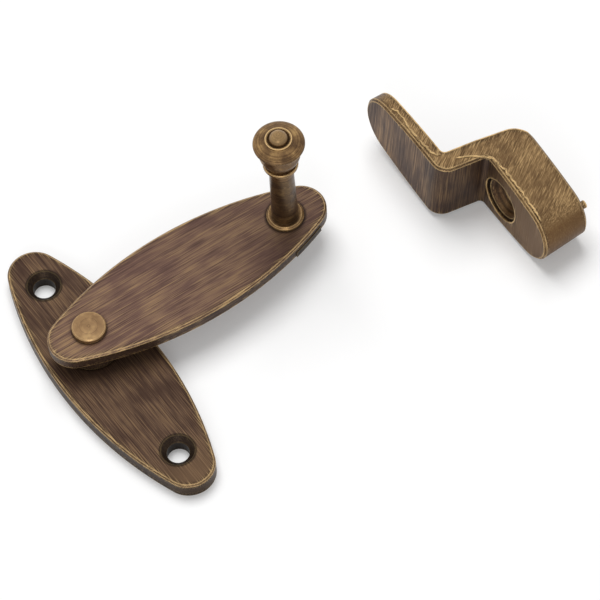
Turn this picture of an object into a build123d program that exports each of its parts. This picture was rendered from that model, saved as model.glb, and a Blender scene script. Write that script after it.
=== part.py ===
from build123d import *
import os
from math import cos, radians, sin, tan

# Cabinet latch in millimetres. The latch half lies on its back face, z = 0.
# The origin is the middle of its two screw holes, with +X along the backplate.
# The keeper stands beside it on its long drafted edge.

# Backplate
PLATE_LENGTH = 70.0
PLATE_WIDTH = 22.5
PLATE_END_RADIUS = 5.8
PLATE_THICKNESS = 3.9
PLATE_BEVEL = 0.4
SCREW_SPACING = 50.8
SCREW_HOLE_RADIUS = 2.45
SCREW_SINK_RADIUS = 3.65
SINK_ANGLE = 90.0

# Lever
LEVER_LENGTH = 68.8
LEVER_WIDTH = 22.8
LEVER_END_RADIUS = 5.8
LEVER_THICKNESS = 3.3
LEVER_BEVEL = 0.4
LEVER_UNDER_BEVEL = 0.3
LEVER_ANGLE = 87.8
PIVOT_FROM_END = 9.5
KNOB_FROM_END = 9.5

# Rough casting land left along the lower half of the lever's edge beside the knob
LAND_PROUD = 0.2
LAND_HEIGHT = 1.6
LAND_START = 2.7
LAND_LENGTH = 8.0

# Pivot: a headed rivet through the lever, a thick washer and the backplate
PIVOT_FROM_MIDDLE = 7.0
RIVET_RADIUS = 2.5
RIVET_HEAD_RADIUS = 3.7
RIVET_HEAD_HEIGHT = 1.2
RIVET_HEAD_BEVEL = 0.25
RIVET_TAIL_RADIUS = 3.4
WASHER_RADIUS = 6.3
WASHER_THICKNESS = 3.05
RUNNING_CLEARANCE = 0.05
END_PLAY = 0.05

# Knob post, heights from its seat on the lever
TENON_RADIUS = 1.9
TENON_TAIL_RADIUS = 2.7
FOOT_RADIUS = 4.05
FOOT_HEIGHT = 0.9
FOOT_BEVEL = 0.45
SHAFT_FOOT_RADIUS = 2.9
SHAFT_NECK_RADIUS = 2.6
SHAFT_HEIGHT = 19.25
FLANGE_RADIUS = 3.8
FLANGE_HEIGHT = 0.95
FLANGE_BEVEL = 0.2
CUP_FOOT_RADIUS = 3.1
CUP_FOOT_HEIGHT = 0.85
CUP_RADIUS = 4.4
CUP_HEIGHT = 3.1
CUP_SWELL = 3.2
COLLAR_HEIGHT = 1.6
BALL_RADIUS = 5.55
BALL_UNDER_HEIGHT = 1.45
BALL_OVER_HEIGHT = 1.5
NUB_RING_RADIUS = 2.9
NUB_RING_WIDTH = 0.4
NUB_RING_HEIGHT = 0.35
NUB_RADIUS = 2.05
NUB_HEIGHT = 2.1

# Keeper: depths are measured from the face of its tongue back to its mounting face
KEEPER_LENGTH = 52.0
KEEPER_WIDTH = 17.6
KEEPER_END_RADIUS = 7.5
KEEPER_DEPTH = 23.0
TONGUE_THICKNESS = 3.4
BLOCK_THICKNESS = 11.8
WEB_START = 23.5
WEB_THICKNESS = 4.7
WEB_SLANT = 7.0
FRONT_BEND = 3.6
BACK_BEND = 5.0
INNER_BEND = 1.2
KEEPER_BEVEL = 0.5
DRAFT = 4.45
KEEPER_HOLE_RADIUS = 2.45
KEEPER_HOLE_FROM_END = 16.7
KEEPER_HOLE_OFF_AXIS = -0.7
KEEPER_RIM_RADIUS = 5.3
KEEPER_RIM_DEPTH = 0.7
KEEPER_SINK_RADIUS = 4.7
SPIKE_RADIUS = 0.9
SPIKE_HEIGHT = 1.2
SPIKE_FROM_END = 4.3
SPIKE_OFF_AXIS = 3.5

# Where the keeper stands: a point of its mounting face, its heading and how far it tips
KEEPER_X = -16.35
KEEPER_Y = 102.9
KEEPER_HEADING = -1.9
KEEPER_TIP = 2.3

# Places worked out from the sizes above
lever_bottom = PLATE_THICKNESS + WASHER_THICKNESS
lever_top = lever_bottom + LEVER_THICKNESS
lever_direction = (cos(radians(LEVER_ANGLE)), sin(radians(LEVER_ANGLE)), 0)
lever_middle = LEVER_LENGTH / 2 - PIVOT_FROM_END
knob_from_pivot = LEVER_LENGTH - PIVOT_FROM_END - KNOB_FROM_END
pivot_point = Vector(-PIVOT_FROM_MIDDLE, 0, 0)


def side_arc_radius(length, width, end_radius):
    """Radius of the long side arcs that run tangent into the end arcs of a boat outline."""
    half_run = length / 2 - end_radius
    return (width**2 / 4 + half_run**2 - end_radius**2) / (width - 2 * end_radius)


class Boat(BaseSketchObject):
    """Pointed oval of two long side arcs and two small end arcs, all tangent, along local X."""

    def __init__(self, length, width, end_radius, mode=Mode.ADD):
        end_centre = Vector(length / 2 - end_radius, 0)
        side_centre = Vector(0, width / 2 - side_arc_radius(length, width, end_radius))
        joint = end_centre + (end_centre - side_centre).normalized() * end_radius
        with BuildSketch() as boat:
            with BuildLine():
                ThreePointArc((-joint.X, joint.Y), (0, width / 2), (joint.X, joint.Y))
                ThreePointArc((joint.X, joint.Y), (length / 2, 0), (joint.X, -joint.Y))
                ThreePointArc((joint.X, -joint.Y), (0, -width / 2), (-joint.X, -joint.Y))
                ThreePointArc((-joint.X, -joint.Y), (-length / 2, 0), (-joint.X, joint.Y))
            make_face()
        super().__init__(obj=boat.sketch, mode=mode)


def sink_depth(outer_radius, inner_radius):
    """Depth of a cone that narrows from one radius to the other at the sink angle."""
    return (outer_radius - inner_radius) / tan(radians(SINK_ANGLE / 2))


def lever_plane(height):
    """Plane at a height over the table with its origin on the pivot and local X along the lever."""
    return Plane(origin=pivot_point + Vector(0, 0, height), x_dir=lever_direction, z_dir=(0, 0, 1))


def upright_plane(point):
    """Vertical plane through a point, with local X along world X and local Y up."""
    return Plane(origin=point, x_dir=(1, 0, 0), z_dir=(0, -1, 0))


# Backplate: two countersunk screw holes, and the rivet's hole with a sink for its tail
rivet_tail_depth = sink_depth(RIVET_TAIL_RADIUS, RIVET_RADIUS)
with BuildPart() as backplate:
    with BuildSketch():
        Boat(PLATE_LENGTH, PLATE_WIDTH, PLATE_END_RADIUS)
    extrude(amount=PLATE_THICKNESS)
    chamfer(backplate.faces().sort_by(Axis.Z)[-1].edges(), length=PLATE_BEVEL)
    with Locations((0, 0, PLATE_THICKNESS)):
        with GridLocations(SCREW_SPACING, 1, 2, 1):
            CounterSinkHole(SCREW_HOLE_RADIUS, SCREW_SINK_RADIUS, counter_sink_angle=SINK_ANGLE)
        with Locations(pivot_point):
            Hole(RIVET_RADIUS)
    with BuildSketch():
        with Locations((pivot_point.X, pivot_point.Y)):
            Circle(RIVET_TAIL_RADIUS)
    extrude(amount=rivet_tail_depth, taper=SINK_ANGLE / 2, mode=Mode.SUBTRACT)

# Thick washer that holds the lever clear of the backplate and its screw heads
with BuildPart() as pivot_washer:
    with BuildSketch(lever_plane(PLATE_THICKNESS)):
        Circle(WASHER_RADIUS)
        Circle(RIVET_RADIUS + RUNNING_CLEARANCE, mode=Mode.SUBTRACT)
    extrude(amount=WASHER_THICKNESS)

# Pivot rivet: flat head, shank, and a tail spread flush into the back of the plate
head_seat = lever_top + END_PLAY
head_top = head_seat + RIVET_HEAD_HEIGHT
with BuildPart() as pivot_rivet:
    with BuildSketch(upright_plane(pivot_point)):
        with BuildLine():
            Polyline(
                (0, 0),
                (RIVET_TAIL_RADIUS, 0),
                (RIVET_RADIUS, rivet_tail_depth),
                (RIVET_RADIUS, head_seat),
                (RIVET_HEAD_RADIUS, head_seat),
                (RIVET_HEAD_RADIUS, head_top - RIVET_HEAD_BEVEL),
                (RIVET_HEAD_RADIUS - RIVET_HEAD_BEVEL, head_top),
                (0, head_top),
                close=True,
            )
        make_face()
    revolve(axis=Axis(pivot_point, (0, 0, 1)))

# Lever: bevelled boat-shaped bar with a running bore at the pivot and a seat for the knob
tenon_tail_depth = sink_depth(TENON_TAIL_RADIUS, TENON_RADIUS)
with BuildPart() as lever:
    with BuildSketch(lever_plane(lever_bottom)):
        with Locations((lever_middle, 0)):
            Boat(LEVER_LENGTH, LEVER_WIDTH, LEVER_END_RADIUS)
    extrude(amount=LEVER_THICKNESS)
    chamfer(lever.faces().sort_by(Axis.Z)[-1].edges(), length=LEVER_BEVEL)
    chamfer(lever.faces().sort_by(Axis.Z)[0].edges(), length=LEVER_UNDER_BEVEL)
    land_from_pivot = knob_from_pivot - LAND_START + LAND_LENGTH / 2
    with BuildSketch(lever_plane(lever_bottom)):
        with Locations((lever_middle, 0)):
            Boat(LEVER_LENGTH + 2 * LAND_PROUD, LEVER_WIDTH + 2 * LAND_PROUD, LEVER_END_RADIUS + LAND_PROUD)
        with Locations((land_from_pivot, -KNOB_FROM_END / 2 - TENON_TAIL_RADIUS)):
            Rectangle(LAND_LENGTH, KNOB_FROM_END, mode=Mode.INTERSECT)
    extrude(amount=LAND_HEIGHT)
    with BuildSketch(lever_plane(lever_bottom)):
        Circle(RIVET_RADIUS + RUNNING_CLEARANCE)
        with Locations((knob_from_pivot, 0)):
            Circle(TENON_RADIUS)
    extrude(amount=LEVER_THICKNESS, mode=Mode.SUBTRACT)
    with BuildSketch(lever_plane(lever_bottom)):
        with Locations((knob_from_pivot, 0)):
            Circle(TENON_TAIL_RADIUS)
    extrude(amount=tenon_tail_depth, taper=SINK_ANGLE / 2, mode=Mode.SUBTRACT)

# Knob post turned in one piece, with a tenon riveted over under the lever
knob_point = lever_plane(lever_top).from_local_coords((knob_from_pivot, 0, 0))
flange_bottom = FOOT_HEIGHT + SHAFT_HEIGHT
flange_top = flange_bottom + FLANGE_HEIGHT
cup_bottom = flange_top + CUP_FOOT_HEIGHT
cup_top = cup_bottom + CUP_HEIGHT
ball_bottom = cup_top + COLLAR_HEIGHT
ball_middle = ball_bottom + BALL_UNDER_HEIGHT
ball_top = ball_middle + BALL_OVER_HEIGHT
ring_top = ball_top + NUB_RING_HEIGHT
nub_top = ball_top + NUB_HEIGHT
nub_arc_radius = (NUB_RADIUS**2 + NUB_HEIGHT**2) / (2 * NUB_HEIGHT)
with BuildPart() as knob:
    with BuildSketch(upright_plane(knob_point)):
        with BuildLine():
            Polyline(
                (0, -LEVER_THICKNESS),
                (TENON_TAIL_RADIUS, -LEVER_THICKNESS),
                (TENON_RADIUS, tenon_tail_depth - LEVER_THICKNESS),
                (TENON_RADIUS, 0),
                (FOOT_RADIUS, 0),
                (FOOT_RADIUS, FOOT_HEIGHT - FOOT_BEVEL),
                (FOOT_RADIUS - FOOT_BEVEL, FOOT_HEIGHT),
                (SHAFT_FOOT_RADIUS, FOOT_HEIGHT),
                (SHAFT_NECK_RADIUS, flange_bottom),
                (FLANGE_RADIUS - FLANGE_BEVEL, flange_bottom),
                (FLANGE_RADIUS, flange_bottom + FLANGE_BEVEL),
                (FLANGE_RADIUS, flange_top - FLANGE_BEVEL),
                (FLANGE_RADIUS - FLANGE_BEVEL, flange_top),
                (CUP_FOOT_RADIUS, flange_top),
                (CUP_FOOT_RADIUS, cup_bottom),
            )
            RadiusArc((CUP_FOOT_RADIUS, cup_bottom), (CUP_RADIUS, cup_top), -CUP_SWELL)
            Line((CUP_RADIUS, cup_top), (CUP_RADIUS, ball_bottom))
            Spline(
                (CUP_RADIUS, ball_bottom),
                (BALL_RADIUS, ball_middle),
                (NUB_RING_RADIUS, ball_top),
                tangents=((1, 0.9), (-1, 0.35)),
            )
            Polyline(
                (NUB_RING_RADIUS, ball_top),
                (NUB_RING_RADIUS, ring_top),
                (NUB_RING_RADIUS - NUB_RING_WIDTH, ring_top),
                (NUB_RADIUS, ball_top),
            )
            RadiusArc((NUB_RADIUS, ball_top), (0, nub_top), -nub_arc_radius)
            Line((0, nub_top), (0, -LEVER_THICKNESS))
        make_face()
    revolve(axis=Axis(knob_point, (0, 0, 1)))

# Keeper: the way it stands. Its drafted lower edge lies flat on the table from front to back
lean = radians(DRAFT)
tip = radians(KEEPER_TIP)
heading = radians(KEEPER_HEADING)
along = Vector(cos(heading), sin(heading), 0)
facing = Vector(sin(heading), -cos(heading), 0)
upright = Vector(0, 0, cos(lean)) - facing * sin(lean)
keeper_out = facing * cos(lean) + Vector(0, 0, sin(lean))
keeper_along = along * cos(tip) - upright * sin(tip)
keeper_edge_radius = side_arc_radius(KEEPER_LENGTH, KEEPER_WIDTH, KEEPER_END_RADIUS)
arc_drop = keeper_edge_radius - (keeper_edge_radius - KEEPER_WIDTH / 2) * cos(tip)
keeper_height = cos(lean) * (arc_drop + KEEPER_LENGTH / 2 * sin(tip)) - BLOCK_THICKNESS * sin(lean)
keeper_point = Vector(KEEPER_X, KEEPER_Y, keeper_height)
mounting_face = Plane(origin=keeper_point, x_dir=keeper_along, z_dir=keeper_out)
block_front = mounting_face.offset(BLOCK_THICKNESS)
keeper_section = Plane(mounting_face.offset(KEEPER_DEPTH).origin, x_dir=keeper_along, z_dir=mounting_face.y_dir)

# Keeper profile, drawn from the tip of the tongue along X and from its face back along Y
block_depth = KEEPER_DEPTH - BLOCK_THICKNESS
slant = tan(radians(WEB_SLANT))
web_left_back = WEB_START + slant * (KEEPER_DEPTH - TONGUE_THICKNESS)
web_right_front = WEB_START + WEB_THICKNESS - slant * TONGUE_THICKNESS
web_right_back = web_right_front + slant * block_depth
keeper_middle = (KEEPER_LENGTH / 2, 0)
hole_place = (KEEPER_LENGTH - KEEPER_HOLE_FROM_END, KEEPER_HOLE_OFF_AXIS)

# Boat-shaped blank of the keeper, drafted behind the face of its block and bevelled at its back
with BuildPart() as keeper_blank:
    with BuildSketch(block_front) as blank_outline:
        with Locations(keeper_middle):
            Boat(KEEPER_LENGTH, KEEPER_WIDTH, KEEPER_END_RADIUS)
    extrude(amount=block_depth)
    extrude(blank_outline.sketch, amount=-BLOCK_THICKNESS, taper=DRAFT)
    mounting_edges = keeper_blank.faces().sort_by(Axis(keeper_point, keeper_out))[0].edges()
    chamfer(mounting_edges, KEEPER_BEVEL)

with BuildPart() as keeper:
    with BuildSketch(keeper_section) as profile:
        front_bend = (web_right_front, 0)
        front_corner = (web_right_back, block_depth)
        back_bend = (web_left_back, KEEPER_DEPTH)
        back_corner = (WEB_START, TONGUE_THICKNESS)
        with BuildLine():
            Polyline(
                (0, 0),
                front_bend,
                front_corner,
                (KEEPER_LENGTH, block_depth),
                (KEEPER_LENGTH, KEEPER_DEPTH),
                back_bend,
                back_corner,
                (0, TONGUE_THICKNESS),
                close=True,
            )
        make_face()
        fillet(profile.vertices().sort_by_distance(front_bend)[0], FRONT_BEND)
        fillet(profile.vertices().sort_by_distance(back_bend)[0], BACK_BEND)
        for corner in (front_corner, back_corner):
            fillet(profile.vertices().sort_by_distance(corner)[0], INNER_BEND)
    extrude(amount=KEEPER_WIDTH, both=True)
    add(keeper_blank.part, mode=Mode.INTERSECT)
    front_edges = keeper.faces().sort_by(Axis(keeper_point, keeper_out))[-1].edges()
    chamfer(front_edges.filter_by(GeomType.LINE, reverse=True), KEEPER_BEVEL)
    with BuildSketch(block_front):
        with Locations(hole_place):
            Circle(KEEPER_RIM_RADIUS)
    extrude(amount=-KEEPER_RIM_DEPTH, mode=Mode.SUBTRACT)
    with Locations(block_front.offset(-KEEPER_RIM_DEPTH)):
        with Locations(hole_place):
            CounterSinkHole(KEEPER_HOLE_RADIUS, KEEPER_SINK_RADIUS, counter_sink_angle=SINK_ANGLE)
    with BuildSketch(mounting_face):
        with Locations((KEEPER_LENGTH - SPIKE_FROM_END, SPIKE_OFF_AXIS)):
            Circle(SPIKE_RADIUS)
    extrude(amount=-SPIKE_HEIGHT)

backplate.part.label = "backplate"
pivot_washer.part.label = "pivot_washer"
pivot_rivet.part.label = "pivot_rivet"
lever.part.label = "lever"
knob.part.label = "knob"
keeper.part.label = "keeper"

os.makedirs("parts", exist_ok=True)
export_step(backplate.part, "parts/backplate.step")
export_step(pivot_washer.part, "parts/pivot_washer.step")
export_step(pivot_rivet.part, "parts/pivot_rivet.step")
export_step(lever.part, "parts/lever.step")
export_step(knob.part, "parts/knob.step")
export_step(keeper.part, "parts/keeper.step")
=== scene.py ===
from math import cos, radians, sin, sqrt, tan

import bpy
from mathutils import Matrix, Vector, noise


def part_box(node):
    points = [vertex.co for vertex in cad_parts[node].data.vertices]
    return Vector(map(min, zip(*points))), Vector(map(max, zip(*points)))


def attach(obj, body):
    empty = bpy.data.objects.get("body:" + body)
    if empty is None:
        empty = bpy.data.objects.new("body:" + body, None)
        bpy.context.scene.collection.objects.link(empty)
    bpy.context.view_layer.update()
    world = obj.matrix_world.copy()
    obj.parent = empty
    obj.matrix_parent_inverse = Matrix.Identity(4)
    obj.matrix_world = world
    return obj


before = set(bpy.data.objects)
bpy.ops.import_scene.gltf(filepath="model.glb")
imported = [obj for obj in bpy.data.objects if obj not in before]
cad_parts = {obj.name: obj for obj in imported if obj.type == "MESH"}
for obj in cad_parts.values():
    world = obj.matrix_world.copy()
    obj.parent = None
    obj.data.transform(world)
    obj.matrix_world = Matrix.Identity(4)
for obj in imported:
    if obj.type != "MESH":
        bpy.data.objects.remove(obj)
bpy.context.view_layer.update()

MM = 0.001
UP = Vector((0, 0, 1))
WORLD_AXES = (Vector((1, 0, 0)), Vector((0, 1, 0)), UP)
WHITE = (1, 1, 1, 1)

# Camera: place in metres, then degrees of heading from +Y towards +X, of tilt down and of roll
CAMERA_PLACE = Vector((0.44444, -0.22014, 0.82941))
CAMERA_HEADING = -58.85
CAMERA_DOWN = 58.46
CAMERA_ROLL = -5.06

# Lens: sensor width in millimetres, focal length in pixels of a square picture, and sight in metres
SENSOR = 36.0
FOCAL_PIXELS = 4522.5
PICTURE_PIXELS = 600
NEAREST = 0.01
FARTHEST = 20

# Lamps: places and sizes in metres, and powers in watts
LAMP_AIM = Vector((0, 0.04, 0))
KEY_PLACE = Vector((-0.42, 0.2, 1.05))
KEY_SIZE = 0.75
KEY_POWER = 10.7
GLINT_PLACE = Vector((0.65, -0.45, 0.5))
GLINT_SIZE = 0.4
GLINT_POWER = 1.2

# Surroundings: level of their light, and the floor with its own share of its white
SOFT_LEVEL = 0.34
FLOOR_SIZE = 6.0
FLOOR_MIDDLE = (0, 0.05, 0)
FLOOR_COLOR = (0.82, 0.82, 0.82, 1)
FLOOR_GLOW = 0.17

# Backplate: its screw holes' distance from the middle, the reach of the darkening in their sinks, and
# where painted sheen makes it paler towards its tip
SCREW_PLACE = 25.4 * MM
SINK_REACH = 4.3 * MM
SINK_FADE = 0.5 * MM
SHEEN_START = 22 * MM
SHEEN_END = 33 * MM

# Lever: its angle and pivot, where painted shade darkens it towards the knob, the land on its edge that
# is darkened, and the ring of painted shade round the knob's foot
LEVER_ANGLE = 87.8
PIVOT = Vector((-7.0, 0, 0)) * MM
LEVER_SHADE_START = 10 * MM
LEVER_SHADE_END = 52 * MM
LAND_START = 47.1 * MM
LAND_END = 55.1 * MM
LAND_SIDE = -4.0 * MM
LAND_TOP = 8.6 * MM
FOOT_SHADE_START = 4.2 * MM
FOOT_SHADE_END = 4.9 * MM

# Knob: radius just outside its shaft. Heights above the ground that the shaft's painted shade goes up
# to, that the painted gold highlight on the foot's rim stays below, and that the painted shade of the
# tenon's tail stays below
SHAFT_REACH = 3.1 * MM
SHAFT_SHADE_TOP = 27.8 * MM
RIM_HIGHLIGHT_TOP = 10.5 * MM
TAIL_SHADE_TOP = 9.25 * MM

# Keeper: a point of its back face, the way it stands, and its outline
KEEPER_POINT = Vector((-16.35, 102.9, 9.0034)) * MM
KEEPER_HEADING = -1.9
KEEPER_LEAN = 4.45
KEEPER_TIP = 2.3
KEEPER_LENGTH = 52.0 * MM
KEEPER_WIDTH = 17.6 * MM
KEEPER_END_RADIUS = 7.5 * MM
KEEPER_DEPTH = 23.0 * MM
BLOCK_FRONT = 11.2 * MM

# Keeper's shading: distances from its tongue's tip over which painted shade darkens the web and the block
# turns olive, its screw hole, and the cutter's rings in radians for each metre, with their share of the
# relief
WEB_SHADE = (21 * MM, 25 * MM)
BLOCK_OLIVE = (29 * MM, 38 * MM)
HOLE_ALONG = 35.3 * MM
HOLE_ACROSS = -0.7 * MM
HOLE_REACH = 5.25 * MM
CUTTER_RINGS = 6500.0
CUTTER_SHARE = -9.0

# Casting ridge on the keeper's upper edge: millimetres along it and behind its tongue's face, which it
# wanders off by up to 0.32 mm, and how lumpy it is
TONGUE_RIDGE = (
    (7.2, 0.9), (9.0, 1.7), (11.0, 1.6), (14.0, 1.15), (17.6, 1.15), (22.0, 1.4), (23.2, 2.1), (23.6, 3.2),
)
BLOCK_RIDGE = (
    (26.0, 5.0), (27.3, 8.1), (28.7, 10.2), (30.2, 11.9), (34.0, 12.4), (40.0, 12.5), (48.4, 12.3),
)
RIDGE_RADIUS = 0.32 * MM
RIDGE_WANDER = 0.32
RIDGE_LUMPS = 0.9
POINTS_PER_MM = 3
TAPERED_POINTS = 5

# Patina's grain in features per metre: hairs and streaks across the brushing, rings, patches and scuffs
HAIRS = 7200
STREAKS = 3800
BRUSHED_PATCHES = (130, 180, 180)
SCUFFS = (420, 420, 420)
RINGS = (3600, 1, 3600)
TURNED_PATCHES = (300, 300, 300)

# Lengths of the hairs on plates and on the keeper's edge faces
PLATE_HAIR = 9 * MM
SKIN_HAIR = 2.2 * MM

# Wear and painted shade: distances from an edge with a dark shade line and with bare gold, and reach of
# shade into hollows
LINE_REACH = 1.4 * MM
GOLD_REACH = 0.35 * MM
BRUSHED_SHADE_REACH = 1.6 * MM
TURNED_SHADE_REACH = 0.6 * MM

# Metal: its share in the shading, its relief, and the softness of its edges
BRUSHED_METAL = 0.6
TURNED_METAL = 0.7
SPECULAR_LEVEL = 0.2
HAIR_DEPTH = 0.008 * MM
RING_DEPTH = 0.01 * MM
BRUSHED_ROUNDING = 0.15 * MM
TURNED_ROUNDING = 0.1 * MM
NEARNESS_SAMPLES = 12
ROUNDING_SAMPLES = 6


def rgb(red, green, blue):
    """Linear colour of a shade that is given in display values from 0 to 255."""
    def linear(value):
        share = value / 255
        return share / 12.92 if share <= 0.04045 else ((share + 0.055) / 1.055) ** 2.4
    return (linear(red), linear(green), linear(blue), 1.0)


# Shades of the patina, where each set goes from dark through middle to worn
# Darkest colour: painted shade in hollows and under neighbouring pieces, also used for the darkened sinks
# and land
DIRT_AND_SHADE = rgb(21, 15, 11)
# Dark of the grain's lines and the cutter's grooves, and painted shade on sides, edges, shaft, tail, web
# and hollows
SOOT_AND_SHADE = rgb(38, 28, 22)
# Bare worn gold, and painted highlights on the knob's foot rim and top
GOLD_AND_HIGHLIGHT = rgb(224, 189, 134)
PLATE_SHADES = (rgb(72, 53, 43), rgb(92, 71, 58), rgb(124, 98, 72))
WASHER_SHADES = (rgb(60, 46, 38), rgb(84, 66, 54), rgb(110, 88, 68))
LEVER_SHADES = (rgb(103, 78, 70), rgb(125, 98, 83), rgb(152, 123, 90))
KEEPER_SHADES = (rgb(70, 49, 38), rgb(94, 70, 52), rgb(138, 107, 72))
# Paler skin of the keeper's upward edge faces: scratched metal, partly painted light
SKIN_SHADES = (rgb(110, 85, 57), rgb(137, 109, 74), rgb(180, 149, 104))
BLOCK_SHADE = rgb(122, 91, 55)
KNOB_SHADES = (rgb(84, 63, 44), rgb(124, 96, 64), rgb(168, 136, 90))
RIVET_SHADES = (rgb(134, 105, 74), rgb(158, 126, 90), rgb(184, 151, 106))


def lever_directions():
    """Directions along the lever, across it and up."""
    turned = radians(LEVER_ANGLE)
    return Vector((cos(turned), sin(turned), 0)), Vector((-sin(turned), cos(turned), 0)), UP


def keeper_directions():
    """Directions along the keeper, up towards its upper edge and out of its tongue's face."""
    lean, tip, heading = radians(KEEPER_LEAN), radians(KEEPER_TIP), radians(KEEPER_HEADING)
    level = Vector((cos(heading), sin(heading), 0))
    forward = Vector((sin(heading), -cos(heading), 0))
    upright = Vector((0, 0, cos(lean))) - forward * sin(lean)
    out = forward * cos(lean) + Vector((0, 0, sin(lean)))
    along = level * cos(tip) - upright * sin(tip)
    return along, out.cross(along), out


# Places and directions worked out from the sizes above and the frame
keeper_along, keeper_up, keeper_out = keeper_directions()
hole_middle = KEEPER_POINT + keeper_along * HOLE_ALONG + keeper_up * HOLE_ACROSS
hole_middle += keeper_out * (KEEPER_DEPTH - BLOCK_FRONT)
knob_low, knob_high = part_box("knob")
knob_middle = (knob_low + knob_high) / 2
knob_top = knob_high.z


def add_camera():
    """Camera high above the latch, beyond the +X end of its backplate."""
    heading, down, roll = radians(CAMERA_HEADING), radians(CAMERA_DOWN), radians(CAMERA_ROLL)
    forward = Vector((sin(heading) * cos(down), cos(heading) * cos(down), -sin(down)))
    level_right = forward.cross(UP).normalized()
    level_up = level_right.cross(forward)
    right = cos(roll) * level_right + sin(roll) * level_up
    up = cos(roll) * level_up - sin(roll) * level_right
    data = bpy.data.cameras.new("camera")
    data.sensor_width = SENSOR
    data.lens = SENSOR * FOCAL_PIXELS / PICTURE_PIXELS
    data.clip_start = NEAREST
    data.clip_end = FARTHEST
    camera = bpy.data.objects.new("camera", data)
    turn = Matrix((right, up, -forward)).transposed().to_4x4()
    camera.matrix_world = Matrix.Translation(CAMERA_PLACE) @ turn
    bpy.context.scene.collection.objects.link(camera)
    bpy.context.scene.camera = camera


class Nodes:
    """Small helper that adds and joins shader nodes of one material."""

    def __init__(self, name):
        self.material = bpy.data.materials.new(name)
        self.material.use_nodes = True
        self.tree = self.material.node_tree
        self.tree.nodes.clear()
        places = self.add("ShaderNodeTexCoord").outputs
        self.coords = places["Object"]
        self.facing = places["Normal"]

    def add(self, kind, settings=None, **inputs):
        """New node with its settings and its inputs, whose names have _ for a blank."""
        node = self.tree.nodes.new(kind)
        for key, value in (settings or {}).items():
            setattr(node, key, value)
        for key, value in inputs.items():
            self.put(node, key.replace("_", " "), value)
        return node

    def put(self, node, key, value):
        """Set or join one input, which is given by its name or its number."""
        socket = node.inputs[int(key)] if key.isdigit() else node.inputs[key]
        if isinstance(value, bpy.types.NodeSocket):
            self.tree.links.new(value, socket)
        else:
            socket.default_value = value

    def math(self, operation, first, second=0.0, clamp=False):
        node = self.add("ShaderNodeMath", {"operation": operation, "use_clamp": clamp})
        self.put(node, "0", first)
        self.put(node, "1", second)
        return node.outputs[0]

    def vector(self, operation, first, second):
        node = self.add("ShaderNodeVectorMath", {"operation": operation})
        self.put(node, "0", first)
        self.put(node, "1", second)
        return node.outputs["Value" if operation == "DOT_PRODUCT" else "Vector"]

    def blend(self, *shares):
        """Sum of sockets, each given with its share."""
        total = 0.0
        for socket, share in shares:
            total = self.math("ADD", self.math("MULTIPLY", socket, share), total)
        return total

    def ramp(self, value, low, high, to_low=0.0, to_high=1.0):
        """Smooth step from to_low to to_high while the value goes from low to high."""
        node = self.add("ShaderNodeMapRange", {"interpolation_type": "SMOOTHSTEP"}, Value=value)
        for key, number in zip(("From Min", "From Max", "To Min", "To Max"), (low, high, to_low, to_high)):
            node.inputs[key].default_value = number
        return node.outputs[0]

    def noise(self, vector, scale, detail=2.0, roughness=0.5):
        """Noise of a place in metres, with one scale for each axis in features per metre."""
        node = self.add("ShaderNodeTexNoise", Scale=1.0, Detail=detail, Roughness=roughness)
        self.put(node, "Vector", self.vector("MULTIPLY", vector, scale))
        return node.outputs["Fac"]

    def mix(self, factor, first, second):
        """Colour that goes from the first to the second."""
        node = self.add("ShaderNodeMix", {"data_type": "RGBA"})
        self.put(node, "0", factor)
        self.put(node, "6", first)
        self.put(node, "7", second)
        return node.outputs[2]

    def mix_value(self, factor, first, second):
        """Value that goes from the first to the second."""
        node = self.add("ShaderNodeMix", {"data_type": "FLOAT"})
        self.put(node, "0", factor)
        self.put(node, "2", first)
        self.put(node, "3", second)
        return node.outputs[0]

    def local(self, origin, axes):
        """Object coordinates from an origin along three axes, as one vector and as its parts."""
        offset = self.vector("SUBTRACT", self.coords, origin)
        parts = [self.vector("DOT_PRODUCT", offset, axis) for axis in axes]
        return self.add("ShaderNodeCombineXYZ", X=parts[0], Y=parts[1], Z=parts[2]).outputs[0], parts

    def round_about(self, origin, axes):
        """Radius from the third axis through an origin, and the height along it."""
        across, up, along = self.local(origin, axes)[1]
        square = self.math("ADD", self.math("MULTIPLY", across, across), self.math("MULTIPLY", up, up))
        return self.math("SQRT", square), along

    def shut_in(self, distance, inside):
        """How much the pieces close a point in, or seen from inside, how near it is to an edge."""
        settings = {"inside": inside, "only_local": inside, "samples": NEARNESS_SAMPLES}
        node = self.add("ShaderNodeAmbientOcclusion", settings, Distance=distance)
        return self.math("SUBTRACT", 1.0, node.outputs["AO"])

    def finish(self, color, roughness, metallic, height, depth, rounding):
        """Join colour, roughness and relief into the material's surface."""
        soft = self.add("ShaderNodeBevel", {"samples": ROUNDING_SAMPLES}, Radius=rounding).outputs[0]
        bump = self.add("ShaderNodeBump", Height=height, Strength=1.0, Distance=depth, Normal=soft)
        surface = self.add("ShaderNodeBsdfPrincipled", Roughness=roughness, Metallic=metallic)
        surface.inputs["Specular IOR Level"].default_value = SPECULAR_LEVEL
        self.put(surface, "Base Color", color)
        self.put(surface, "Normal", bump.outputs[0])
        output = self.add("ShaderNodeOutputMaterial")
        self.tree.links.new(surface.outputs[0], output.inputs[0])
        return self.material


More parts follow.
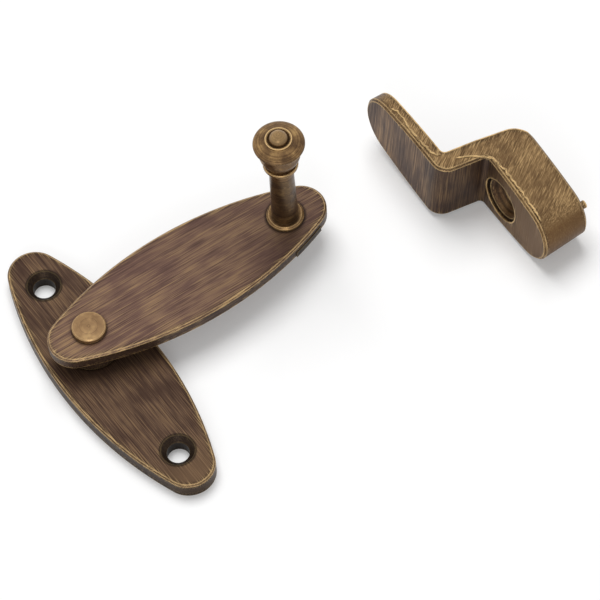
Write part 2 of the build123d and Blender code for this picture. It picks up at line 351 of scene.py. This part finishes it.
def brushed(n, place, shades, length, line_dark):
    """Colour and height of patina that is brushed along the first coordinate."""
    dark, middle, worn = shades
    hair = n.noise(place, (1 / length, HAIRS, HAIRS), detail=2.0, roughness=0.6)
    streak = n.noise(place, (0.8 / length, STREAKS, STREAKS), detail=3.0, roughness=0.65)
    patch = n.noise(place, BRUSHED_PATCHES, detail=2.0, roughness=0.5)
    stained = n.blend((patch, 0.5), (streak, 0.25), (hair, 0.25))
    color = n.mix(n.ramp(stained, 0.38, 0.6), dark, middle)
    rubbed = n.blend((patch, 0.18), (streak, 0.37), (hair, 0.45))
    color = n.mix(n.ramp(rubbed, 0.49, 0.62), color, worn)
    lines = n.blend((n.ramp(streak, 0.44, 0.3), 0.7), (n.ramp(hair, 0.46, 0.3), 0.7))
    color = n.mix(n.math("MULTIPLY", lines, line_dark, clamp=True), color, SOOT_AND_SHADE)
    return color, n.blend((hair, 1.0), (streak, 1.5))


def worn_and_shaded_edges(n, color, height):
    """Edges that are worn to gold above a dark line of painted shade, with golden scratches."""
    near_edge = n.ramp(n.shut_in(LINE_REACH, True), 0.03, 0.14)
    # Painted shade: a dark line along every edge, just inside the gold
    color = n.mix(n.math("MULTIPLY", near_edge, 0.38), color, SOOT_AND_SHADE)
    scratched = n.math("MULTIPLY", near_edge, n.ramp(height, 1.28, 1.5, 0.0, 0.4))
    color = n.mix(scratched, color, GOLD_AND_HIGHLIGHT)
    scuff = n.ramp(n.noise(n.coords, SCUFFS, detail=3.0, roughness=0.6), 0.35, 0.6, 0.5, 1.0)
    on_edge = n.ramp(n.shut_in(GOLD_REACH, True), 0.04, 0.16)
    return n.mix(n.math("MULTIPLY", on_edge, scuff, clamp=True), color, GOLD_AND_HIGHLIGHT)


def brushed_brass(name, origin, axes, shades, line_dark=0.5, side_shade=0.0, details=None, darkening=None):
    """Patina brushed along the first axis, with painted shade on its sides and in hollows, and worn edges.
    """
    n = Nodes(name)
    place, parts = n.local(origin, axes)
    color, height = brushed(n, place, shades, PLATE_HAIR, line_dark)
    if details:
        color, height = details(n, parts, color, height)
    level = n.math("ABSOLUTE", n.vector("DOT_PRODUCT", n.facing, axes[2]))
    # Painted shade: the side walls, faces that stand across the third axis, are darkened
    color = n.mix(n.ramp(level, 0.5, 0.15, 0.0, side_shade), color, SOOT_AND_SHADE)
    color = worn_and_shaded_edges(n, color, height)
    # Painted shade: darkening in hollows and where other pieces come near, deepest under the lever
    shaded_hollow = n.ramp(n.shut_in(BRUSHED_SHADE_REACH, False), 0.15, 0.55, 0.0, 0.93)
    if darkening:
        shaded_hollow = n.math("MAXIMUM", shaded_hollow, darkening(n, parts))
    color = n.mix(shaded_hollow, color, DIRT_AND_SHADE)
    roughness = n.ramp(height, 0.8, 1.7, 0.5, 0.36)
    return n.finish(color, roughness, BRUSHED_METAL, height, HAIR_DEPTH, BRUSHED_ROUNDING)


def turned_brass(name, centre, shades, ring_share, details=None):
    """Patina with the fine rings that turning leaves around an upright axis."""
    dark, middle, worn = shades
    n = Nodes(name)
    radius, along = n.round_about(Vector((centre.x, centre.y, 0)), WORLD_AXES)
    section = n.add("ShaderNodeCombineXYZ", X=radius, Z=along).outputs[0]
    height = n.noise(section, RINGS, detail=2.0, roughness=0.6)
    patch = n.noise(n.coords, TURNED_PATCHES, detail=4.0, roughness=0.7)
    tone = n.blend((height, ring_share), (patch, 1 - ring_share))
    color = n.mix(n.ramp(tone, 0.38, 0.58), dark, middle)
    color = n.mix(n.ramp(tone, 0.52, 0.66), color, worn)
    edge = n.ramp(n.shut_in(GOLD_REACH, True), 0.05, 0.24, 0.0, 0.85)
    color = n.mix(edge, color, GOLD_AND_HIGHLIGHT)
    if details:
        color = details(n, radius, along, color)
    # Painted shade: darkening in hollows and where other pieces come near
    shaded_hollow = n.ramp(n.shut_in(TURNED_SHADE_REACH, False), 0.35, 0.85, 0.0, 0.62)
    color = n.mix(shaded_hollow, color, SOOT_AND_SHADE)
    roughness = n.ramp(height, 0.3, 0.7, 0.26, 0.4)
    return n.finish(color, roughness, TURNED_METAL, height, RING_DEPTH, TURNED_ROUNDING)


def knob_painted_light(n, radius, along, color):
    """Shaft painted dark as shade, a painted gold highlight on the foot's rim, a top painted brighter as a
    highlight, and a tail painted dark as shade.
    """
    # Painted shade: the shaft darkened up to a height
    within = n.ramp(radius, SHAFT_REACH + 0.3 * MM, SHAFT_REACH)
    below = n.ramp(along, SHAFT_SHADE_TOP, SHAFT_SHADE_TOP - 0.4 * MM)
    shaft_shade = n.math("MULTIPLY", within, below)
    color = n.mix(n.math("MULTIPLY", shaft_shade, 0.5), color, SOOT_AND_SHADE)
    # Painted highlight: gold on the foot's rim
    beyond = n.ramp(radius, SHAFT_REACH + 0.1 * MM, SHAFT_REACH + 0.4 * MM)
    rim_highlight = n.math("MULTIPLY", beyond, n.ramp(along, RIM_HIGHLIGHT_TOP, RIM_HIGHLIGHT_TOP - 1 * MM))
    # Painted highlight: the top brightened towards gold
    top_highlight = n.ramp(along, knob_top - 2.2 * MM, knob_top - 0.6 * MM, 0.0, 0.2)
    color = n.mix(n.math("MAXIMUM", n.math("MULTIPLY", rim_highlight, 0.95), top_highlight), color, GOLD_AND_HIGHLIGHT)
    # Painted shade: the tail darkened below a height
    tail_shade = n.ramp(along, TAIL_SHADE_TOP, TAIL_SHADE_TOP - 0.25 * MM, 0.0, 0.8)
    return n.mix(tail_shade, color, SOOT_AND_SHADE)


def plate_sheen(n, parts, color, height):
    """Patina painted paler towards one tip as a sheen."""
    # Painted sheen: paler towards one tip
    painted_sheen = n.ramp(parts[0], SHEEN_START, SHEEN_END, 0.0, 0.5)
    return n.mix(painted_sheen, color, PLATE_SHADES[2]), height


def sink_darkening(n, parts):
    """Darkening in the sinks of the plate's two screw holes."""
    along = n.math("SUBTRACT", n.math("ABSOLUTE", parts[0]), SCREW_PLACE)
    square = n.math("ADD", n.math("MULTIPLY", along, along), n.math("MULTIPLY", parts[1], parts[1]))
    return n.ramp(n.math("SQRT", square), SINK_REACH, SINK_REACH - SINK_FADE, 0.0, 0.82)


def lever_shading(n, parts, color, height):
    """Painted shade that darkens the patina towards the knob."""
    # Painted shade: darker towards the knob
    painted_shade = n.ramp(parts[0], LEVER_SHADE_START, LEVER_SHADE_END, 0.0, 0.25)
    return n.mix(painted_shade, color, SOOT_AND_SHADE), height


def lever_foot_shade_and_land(n, parts):
    """Painted shade round the knob's foot, and the land low on the side near the tip, darkened."""
    along, across, up = parts
    radius = n.round_about(knob_middle, WORLD_AXES)[0]
    # Painted shade: a dark ring round the knob's foot
    foot_shade = n.ramp(radius, FOOT_SHADE_END, FOOT_SHADE_START, 0.0, 0.75)
    # The land low on the side near the tip is darkened
    past_start = n.math("GREATER_THAN", along, LAND_START)
    within_run = n.math("MULTIPLY", past_start, n.math("LESS_THAN", along, LAND_END))
    at_side = n.math("LESS_THAN", across, LAND_SIDE)
    low_at_side = n.math("MULTIPLY", at_side, n.math("LESS_THAN", up, LAND_TOP))
    land = n.math("MULTIPLY", within_run, low_at_side)
    return n.math("MAXIMUM", foot_shade, n.math("MULTIPLY", land, 0.85))


def keeper_details(n, parts, color, height):
    """Painted shade on the web, scratched skin on the upward edge faces that is paler partly as painted
    light, and the rings that the cutter left in the hole.
    """
    # Painted shade: the web darkened
    color = n.mix(n.ramp(parts[1], *WEB_SHADE, 0.0, 0.35), color, SOOT_AND_SHADE)
    color = n.mix(n.ramp(parts[1], *BLOCK_OLIVE, 0.0, 0.6), color, BLOCK_SHADE)
    slant = (keeper_along * 0.7 + keeper_out).normalized()
    place = n.local(KEEPER_POINT, (slant, slant.cross(keeper_up), keeper_up))[0]
    skin, rough = brushed(n, place, SKIN_SHADES, SKIN_HAIR, 0.6)
    # Upward edge faces get the scratched skin, paler in part as painted light
    upper = n.ramp(n.vector("DOT_PRODUCT", n.facing, keeper_up), 0.6, 0.9)
    color = n.mix(upper, color, skin)
    radius, deep = n.round_about(hole_middle, (keeper_along, keeper_up, keeper_out))
    wave = n.math("SINE", n.math("MULTIPLY", deep, CUTTER_RINGS))
    inside = n.math("LESS_THAN", radius, HOLE_REACH)
    groove = n.math("MULTIPLY", n.ramp(wave, -0.2, 0.8), inside)
    color = n.mix(n.math("MULTIPLY", groove, 0.55), color, SOOT_AND_SHADE)
    return color, n.blend((n.mix_value(upper, height, rough), 1.0), (groove, CUTTER_SHARE))


def keeper_edge(along, behind):
    """Place on the keeper's upper edge face, from metres along it and behind its tongue's face."""
    run = KEEPER_LENGTH / 2 - KEEPER_END_RADIUS
    side_radius = KEEPER_WIDTH**2 / 4 + run**2 - KEEPER_END_RADIUS**2
    side_radius /= KEEPER_WIDTH - 2 * KEEPER_END_RADIUS
    up = KEEPER_WIDTH / 2 - side_radius + sqrt(side_radius**2 - (along - KEEPER_LENGTH / 2) ** 2)
    up -= max(behind - BLOCK_FRONT, 0) * tan(radians(KEEPER_LEAN))
    return KEEPER_POINT + keeper_along * along + keeper_up * up + keeper_out * (KEEPER_DEPTH - behind)


def ridge_places(route):
    """Points on the keeper's upper edge face that follow a route and wander a little off it."""
    places = []
    for (start, start_back), (end, end_back) in zip(route, route[1:]):
        steps = max(2, round(abs(end - start) + abs(end_back - start_back)) * POINTS_PER_MM)
        for step in range(steps):
            share = step / steps
            along = start + (end - start) * share
            behind = start_back + (end_back - start_back) * share
            wander = noise.noise(Vector((along * 1.1, 3.1, 0))) * RIDGE_WANDER
            places.append(keeper_edge(along * MM, (behind + wander) * MM))
    return places


def add_ridge(name, route, material):
    """Thin uneven casting ridge that thins out at both ends."""
    data = bpy.data.curves.new(name, "CURVE")
    data.dimensions = "3D"
    data.bevel_depth = RIDGE_RADIUS
    data.bevel_resolution = 2
    data.use_fill_caps = True
    data.materials.append(material)
    places = ridge_places(route)
    spline = data.splines.new("POLY")
    spline.points.add(len(places) - 1)
    for index, place in enumerate(places):
        spline.points[index].co = (*place, 1)
        lump = noise.noise(Vector((index * 0.35, 0, 7.7)))
        taper = min(1.0, (index + 1) / TAPERED_POINTS, (len(places) - index) / TAPERED_POINTS)
        spline.points[index].radius = RIDGE_LUMPS * (1 + lump) * taper
    ridge = bpy.data.objects.new(name, data)
    bpy.context.scene.collection.objects.link(ridge)
    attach(ridge, "backplate")


def seen_directly(tree):
    """One for camera, glossy and transmission rays, and nought for the light that falls on things."""
    path = tree.nodes.new("ShaderNodeLightPath")
    total = path.outputs["Is Camera Ray"]
    for name in ("Is Glossy Ray", "Is Transmission Ray"):
        larger = tree.nodes.new("ShaderNodeMath")
        larger.operation = "MAXIMUM"
        tree.links.new(total, larger.inputs[0])
        tree.links.new(path.outputs[name], larger.inputs[1])
        total = larger.outputs[0]
    return total


def add_floor():
    """Pale floor that shows white to the camera and in the metal, and still takes the shadow."""
    bpy.ops.mesh.primitive_plane_add(size=FLOOR_SIZE, location=FLOOR_MIDDLE)
    floor = bpy.context.object
    floor.name = "floor"
    n = Nodes("floor")
    matte = n.add("ShaderNodeBsdfDiffuse", Color=FLOOR_COLOR)
    level = n.math("MULTIPLY", seen_directly(n.tree), FLOOR_GLOW)
    glow = n.add("ShaderNodeEmission", Color=WHITE, Strength=level)
    both = n.add("ShaderNodeAddShader")
    n.tree.links.new(matte.outputs[0], both.inputs[0])
    n.tree.links.new(glow.outputs[0], both.inputs[1])
    output = n.add("ShaderNodeOutputMaterial")
    n.tree.links.new(both.outputs[0], output.inputs[0])
    floor.data.materials.append(n.material)


def add_light(name, place, size, power, in_metal):
    """Soft square lamp that faces the latch, mirrored in the metal or not."""
    data = bpy.data.lights.new(name, "AREA")
    data.size = size
    data.energy = power
    lamp = bpy.data.objects.new(name, data)
    lamp.visible_glossy = in_metal
    lamp.location = place
    lamp.rotation_euler = (LAMP_AIM - place).to_track_quat("-Z", "Y").to_euler()
    bpy.context.scene.collection.objects.link(lamp)


def add_background(tree, strength):
    """White surroundings of one strength."""
    background = tree.nodes.new("ShaderNodeBackground")
    background.inputs["Color"].default_value = WHITE
    background.inputs["Strength"].default_value = strength
    return background.outputs[0]


def add_world():
    """Soft even light from all around, which is white to the camera and in the metal."""
    world = bpy.data.worlds.new("studio")
    world.use_nodes = True
    tree = world.node_tree
    tree.nodes.clear()
    choose = tree.nodes.new("ShaderNodeMixShader")
    output = tree.nodes.new("ShaderNodeOutputWorld")
    tree.links.new(seen_directly(tree), choose.inputs[0])
    tree.links.new(add_background(tree, SOFT_LEVEL), choose.inputs[1])
    tree.links.new(add_background(tree, 1.0), choose.inputs[2])
    tree.links.new(choose.outputs[0], output.inputs[0])
    bpy.context.scene.world = world


finishes = {
    "backplate": brushed_brass(
        "plate_brass", Vector(), WORLD_AXES, PLATE_SHADES,
        line_dark=0.62, side_shade=0.7, details=plate_sheen, darkening=sink_darkening,
    ),
    "pivot_washer": brushed_brass("washer_brass", PIVOT, WORLD_AXES, WASHER_SHADES),
    "lever": brushed_brass(
        "lever_brass", PIVOT, lever_directions(), LEVER_SHADES,
        line_dark=0.62, side_shade=0.65, details=lever_shading, darkening=lever_foot_shade_and_land,
    ),
    "keeper": brushed_brass(
        "keeper_brass", KEEPER_POINT, (keeper_up, keeper_along, keeper_out), KEEPER_SHADES,
        details=keeper_details,
    ),
    "knob": turned_brass("knob_brass", knob_middle, KNOB_SHADES, ring_share=0.4, details=knob_painted_light),
    "pivot_rivet": turned_brass("rivet_brass", PIVOT, RIVET_SHADES, ring_share=0.15),
}
for node, material in finishes.items():
    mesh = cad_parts[node].data
    mesh.materials.clear()
    mesh.materials.append(material)

add_ridge("tongue_ridge", TONGUE_RIDGE, finishes["keeper"])
add_ridge("block_ridge", BLOCK_RIDGE, finishes["keeper"])

add_camera()
add_floor()
add_light("key", KEY_PLACE, KEY_SIZE, KEY_POWER, in_metal=False)
add_light("glint", GLINT_PLACE, GLINT_SIZE, GLINT_POWER, in_metal=True)
add_world()
bpy.context.scene.view_settings.view_transform = "Standard"
